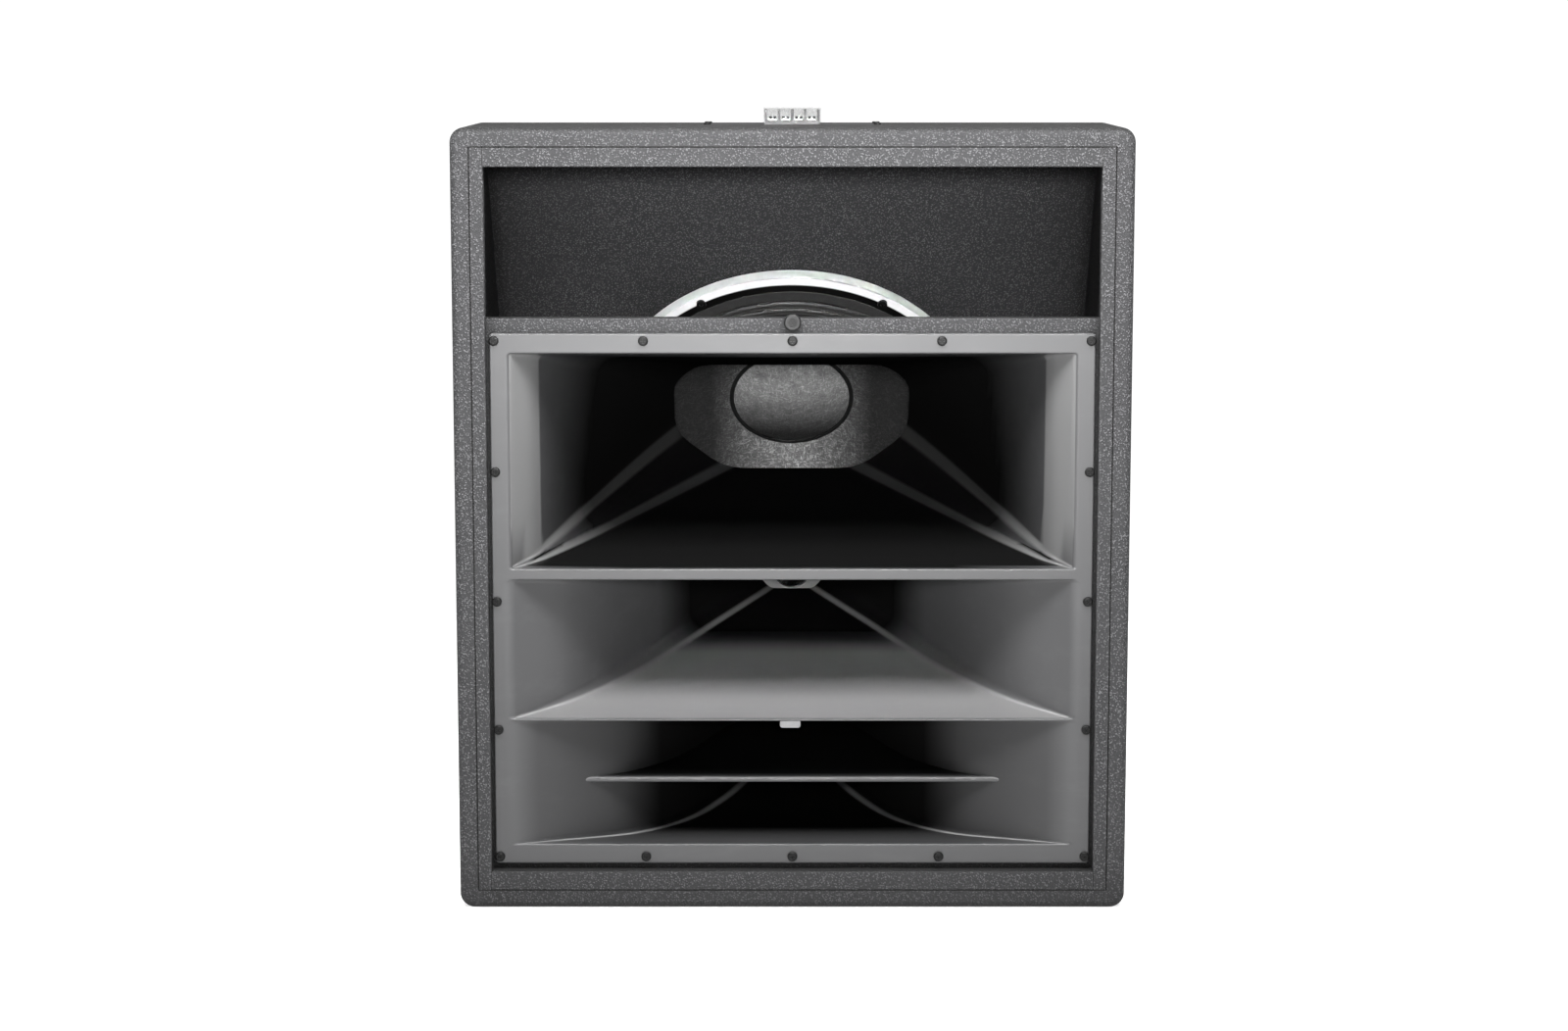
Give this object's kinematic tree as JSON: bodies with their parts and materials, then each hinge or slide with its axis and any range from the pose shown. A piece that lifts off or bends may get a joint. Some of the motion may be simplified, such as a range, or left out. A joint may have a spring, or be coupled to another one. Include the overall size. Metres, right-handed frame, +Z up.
{
  "type": "pa speaker cabinet",
  "caption": "Large plywood loudspeaker cabinet with stacked horn mouths over a tilted woofer, a rear-sloping top and a screw terminal strip.",
  "frame": {"origin": "centre of the footprint on the floor, under the bounding box", "axes": "+X to the right seen from the front, +Y to the back (the front faces -Y), +Z up"},
  "size_m": [0.64, 0.62, 0.7627],
  "materials": {
    "textured_black_coating": "textured black coating over plywood",
    "clear_plastic": "clear polycarbonate",
    "black_plastic": "moulded",
    "satin_black_moulding": "satin black moulded fibre composite",
    "bright_steel": "zinc plated steel",
    "circuit_board": "glass fibre laminate",
    "capacitor_film": "wrapped film",
    "copper": "enamelled copper wire",
    "resistor_ceramic": "cement body",
    "lining_fibre": "fibre blanket",
    "black_screws": "black oxide steel",
    "paper_cap": "pressed fibre pulp",
    "black_rubber": "matt",
    "titanium": "thin sheet",
    "cast_frame": "cast, satin",
    "magnet_ferrite": "ferrite",
    "plated_steel": "plated",
    "black_plate": "black powder coat",
    "grey_pad": "matt grey",
    "coil_former": "polyimide former",
    "paper_cone": "pressed fibre pulp",
    "gasket_board": "dark fibre gasket",
    "treated_cloth": "treated cloth"
  },
  "bodies": {
    "cabinet": {"back_panel": "textured_black_coating", "barrier_strip": "black_plastic", "bottom_cleat": "textured_black_coating", "bottom_horn": "satin_black_moulding", "bottom_panel": "textured_black_coating", "bumper_screw": "bright_steel", "crossover_board": "circuit_board", "crossover_capacitors": "capacitor_film", "crossover_coils": "copper", "crossover_resistors": "resistor_ceramic", "crossover_spacers": "bright_steel", "damping_lining": "lining_fibre", "driver_bolts": "black_screws", "grille_bumper": "black_rubber", "high_driver_cap": "cast_frame", "high_driver_magnet": "magnet_ferrite", "high_driver_plate": "plated_steel", "high_phase_plug": "black_plastic", "horn_board": "textured_black_coating", "horn_flange": "satin_black_moulding", "horn_screws": "black_screws", "horn_vane": "satin_black_moulding", "input_plate": "black_plate", "left_cleat": "textured_black_coating", "left_side": "textured_black_coating", "lip_pad": "grey_pad", "mid_driver_cap": "cast_frame", "mid_driver_magnet": "magnet_ferrite", "mid_driver_plate": "plated_steel", "mid_phase_plug": "black_plastic", "middle_horn": "satin_black_moulding", "plate_screws": "black_screws", "rear_top_panel": "textured_black_coating", "rigging_inserts": "bright_steel", "right_cleat": "textured_black_coating", "right_side": "textured_black_coating", "top_cleat": "textured_black_coating", "top_horn": "satin_black_moulding", "top_panel": "textured_black_coating", "woofer_back_plate": "plated_steel", "woofer_baffle": "textured_black_coating", "woofer_bolts": "black_screws", "woofer_frame": "cast_frame", "woofer_gasket": "gasket_board", "woofer_magnet": "magnet_ferrite", "woofer_spider": "treated_cloth", "woofer_surround": "treated_cloth", "woofer_terminals": "black_plastic", "woofer_top_plate": "plated_steel"},
    "cone_assembly": {"woofer_cone": "paper_cone", "dust_cap": "paper_cap", "voice_coil_former": "coil_former", "voice_coil_winding": "copper"},
    "mid_dome": {"mid_diaphragm": "titanium"},
    "high_dome": {"high_diaphragm": "titanium"},
    "terminal_cover": {"barrier_cover": "clear_plastic"},
    "terminal_1": {"terminal_screw_1": "bright_steel"},
    "terminal_2": {"terminal_screw_2": "bright_steel"},
    "terminal_3": {"terminal_screw_3": "bright_steel"},
    "terminal_4": {"terminal_screw_4": "bright_steel"}
  },
  "joints": [
    {"name": "cone_travel", "type": "slide", "parent": "cabinet", "child": "cone_assembly", "axis": [0, -0.809, -0.5878], "range_m": [-0.008, 0.008], "stiffness_N_per_m": 6000, "deforming": ["woofer_surround", "woofer_spider"]},
    {"name": "mid_dome_travel", "type": "slide", "parent": "cabinet", "child": "mid_dome", "axis": [0, -1, 0], "range_m": [-0.0005, 0.0005], "stiffness_N_per_m": 4000},
    {"name": "high_dome_travel", "type": "slide", "parent": "cabinet", "child": "high_dome", "axis": [0, -1, 0], "range_m": [-0.0005, 0.0005], "stiffness_N_per_m": 4000},
    {"name": "cover_lift", "type": "slide", "parent": "cabinet", "child": "terminal_cover", "axis": [0, 0, 1], "range_m": [0, 0.03]},
    {"name": "terminal_1_travel", "type": "slide", "parent": "cabinet", "child": "terminal_1", "axis": [0, 0, 1], "range_m": [0, 0.0025]},
    {"name": "terminal_2_travel", "type": "slide", "parent": "cabinet", "child": "terminal_2", "axis": [0, 0, 1], "range_m": [0, 0.0025]},
    {"name": "terminal_3_travel", "type": "slide", "parent": "cabinet", "child": "terminal_3", "axis": [0, 0, 1], "range_m": [0, 0.0025]},
    {"name": "terminal_4_travel", "type": "slide", "parent": "cabinet", "child": "terminal_4", "axis": [0, 0, 1], "range_m": [0, 0.0025]}
  ]
}
